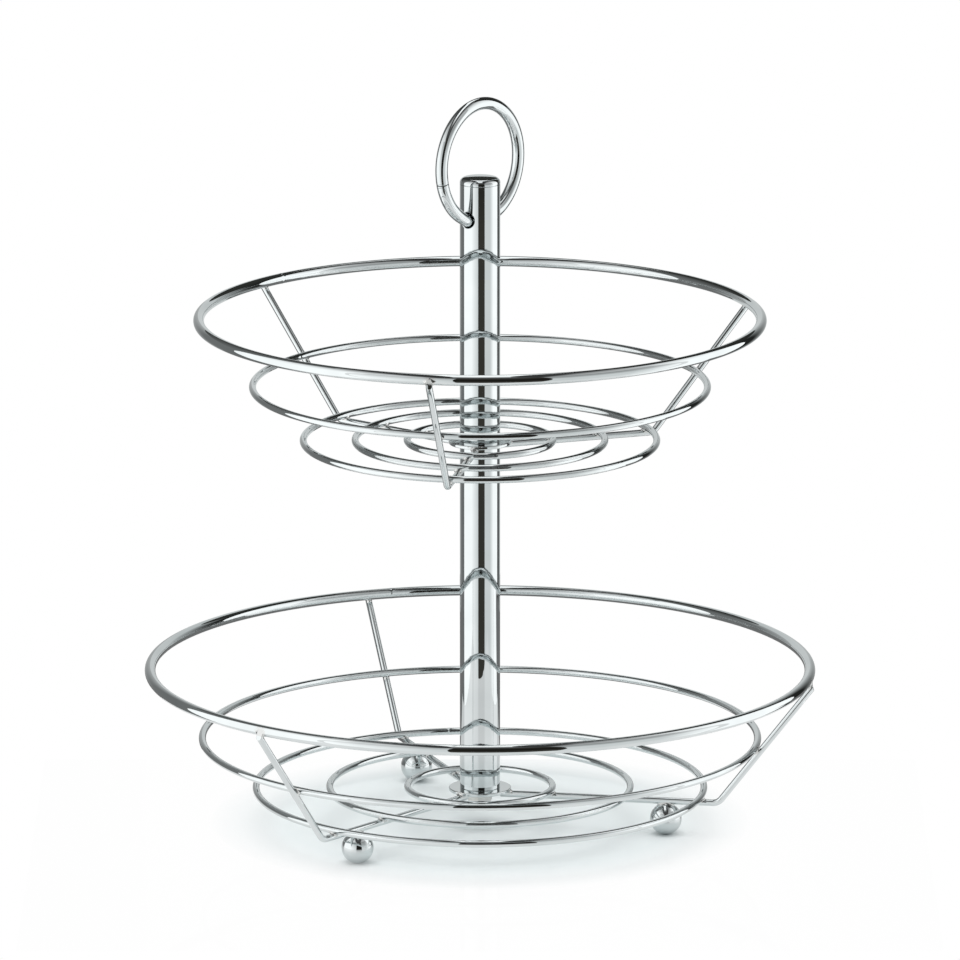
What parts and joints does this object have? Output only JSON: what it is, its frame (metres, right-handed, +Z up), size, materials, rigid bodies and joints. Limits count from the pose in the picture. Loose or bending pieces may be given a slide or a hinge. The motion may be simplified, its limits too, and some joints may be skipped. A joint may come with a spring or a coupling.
{
  "type": "tiered wire basket",
  "caption": "Tiered round wire basket for fruit in bright chrome: a small bowl above a wide one on a tube post, with ball feet and a swinging ring handle.",
  "frame": {"origin": "on the post's axis, on the surface that the ball feet stand on", "axes": "+Z up along the post, +X along the cross hole that holds the ring handle"},
  "size_m": [0.3025, 0.3002, 0.3331],
  "materials": {
    "chrome_wire": "bright chrome plate on drawn steel wire",
    "chrome_tube": "bright chrome plate on steel tube and sheet",
    "chrome_ball": "bright chrome plate on a steel ball",
    "zinc_steel": "zinc plated steel, satin"
  },
  "bodies": {
    "stand": {"lower_rim_ring": "chrome_wire", "lower_middle_ring": "chrome_wire", "lower_base_ring_outer": "chrome_wire", "lower_base_ring_middle": "chrome_wire", "lower_base_ring_inner": "chrome_wire", "lower_spoke_1": "chrome_wire", "lower_spoke_2": "chrome_wire", "lower_spoke_3": "chrome_wire", "upper_rim_ring": "chrome_wire", "upper_middle_ring": "chrome_wire", "upper_base_ring_outer": "chrome_wire", "upper_base_ring_middle": "chrome_wire", "upper_base_ring_inner": "chrome_wire", "upper_spoke_1": "chrome_wire", "upper_spoke_2": "chrome_wire", "upper_spoke_3": "chrome_wire", "lower_post_tube": "chrome_tube", "upper_post_tube": "chrome_tube", "top_cap": "chrome_tube", "lower_hub_plate": "chrome_tube", "upper_hub_plate": "chrome_tube", "foot_ball_1": "chrome_ball", "foot_ball_2": "chrome_ball", "foot_ball_3": "chrome_ball", "lower_tube_bottom_plug": "zinc_steel", "lower_tube_top_plug": "zinc_steel", "upper_tube_bottom_plug": "zinc_steel", "joining_stud": "zinc_steel", "base_screw": "zinc_steel", "base_washer": "zinc_steel"},
    "carrying_ring": {"ring_handle": "chrome_wire"}
  },
  "joints": [
    {"name": "ring_swing", "type": "hinge", "parent": "stand", "child": "carrying_ring", "pos_m": [0, 0, 0.2789], "axis": [1, 0, 0], "range_deg": [-165, 165]}
  ]
}
